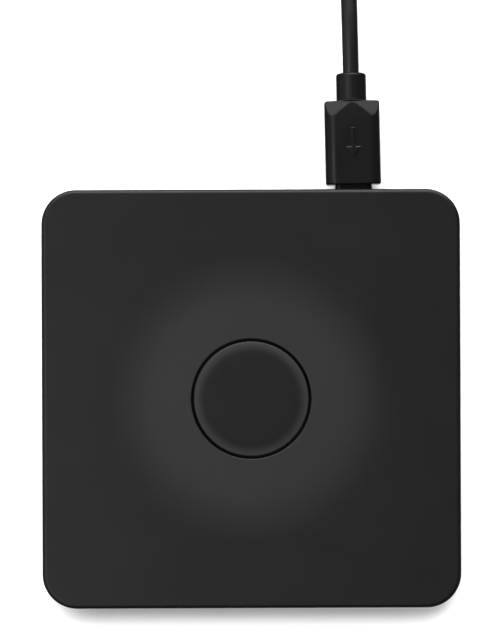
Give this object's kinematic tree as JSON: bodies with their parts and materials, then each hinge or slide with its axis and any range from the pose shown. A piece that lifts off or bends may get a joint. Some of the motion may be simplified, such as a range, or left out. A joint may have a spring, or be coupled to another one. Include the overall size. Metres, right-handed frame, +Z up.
{
  "type": "wireless charging pad",
  "caption": "Square black wireless charging pad with a round grip disc, a coil and circuit board inside, rubber feet, and a power lead that unplugs.",
  "frame": {"origin": "on the surface that the feet stand on, under the middle of the square pad", "axes": "+Z up out of the phone's rest face; +Y towards the back edge with the power socket; +X to the right, towards the side that the socket is nearer"},
  "size_m": [0.1137, 0.1956, 0.0102],
  "materials": {
    "soft_touch_black": "fine soft-touch black",
    "base_black": "fine spark-eroded black",
    "grip_silicone": "satin silicone",
    "smoked_clear": "polished smoked plastic",
    "foot_rubber": "matt rubber",
    "plug_black": "satin moulded",
    "cord_black": "satin sheath",
    "nickel": "nickel-plated steel",
    "screw_steel": "zinc-plated steel",
    "coil_copper": "enamelled copper wire",
    "ferrite_grey": "matt sintered ferrite",
    "cradle_white": "natural white plastic",
    "board_green": "solder-masked board",
    "chip_black": "moulded chip package",
    "capacitor_tan": "ceramic",
    "light_white": "clear cast resin",
    "insert_black": "moulded contact carrier",
    "tie_black": "woven hook and loop"
  },
  "bodies": {
    "pad": {"top_cover": "soft_touch_black", "base_cover": "base_black", "grip_disc": "grip_silicone", "light_guide": "smoked_clear", "transmit_coil": "coil_copper", "coil_wire_outer": "coil_copper", "coil_wire_inner": "coil_copper", "ferrite_sheet": "ferrite_grey", "coil_cradle": "cradle_white", "circuit_board": "board_green", "socket_shell": "nickel", "socket_tongue": "insert_black", "control_chip": "chip_black", "bridge_chip_left": "chip_black", "bridge_chip_right": "chip_black", "choke": "ferrite_grey", "tuning_capacitor_1": "capacitor_tan", "tuning_capacitor_2": "capacitor_tan", "tuning_capacitor_3": "capacitor_tan", "tuning_capacitor_4": "capacitor_tan", "status_light_left": "light_white", "status_light_right": "light_white", "foot_front_left": "foot_rubber", "case_screw_front_left": "screw_steel", "foot_front_right": "foot_rubber", "case_screw_front_right": "screw_steel", "foot_back_left": "foot_rubber", "case_screw_back_left": "screw_steel", "foot_back_right": "foot_rubber", "case_screw_back_right": "screw_steel"},
    "lead": {"plug_grip": "plug_black", "plug_shell": "nickel", "plug_insert": "insert_black", "cord": "cord_black", "cord_coil": "cord_black", "cord_tail": "cord_black", "cord_tie": "tie_black", "supply_plug_grip": "plug_black", "supply_plug_shell": "nickel", "supply_plug_insert": "insert_black"}
  },
  "joints": [
    {"name": "plug_slide", "type": "slide", "parent": "pad", "child": "lead", "axis": [-0.0192, 0.9998, 0], "range_m": [0, 0.012]}
  ]
}
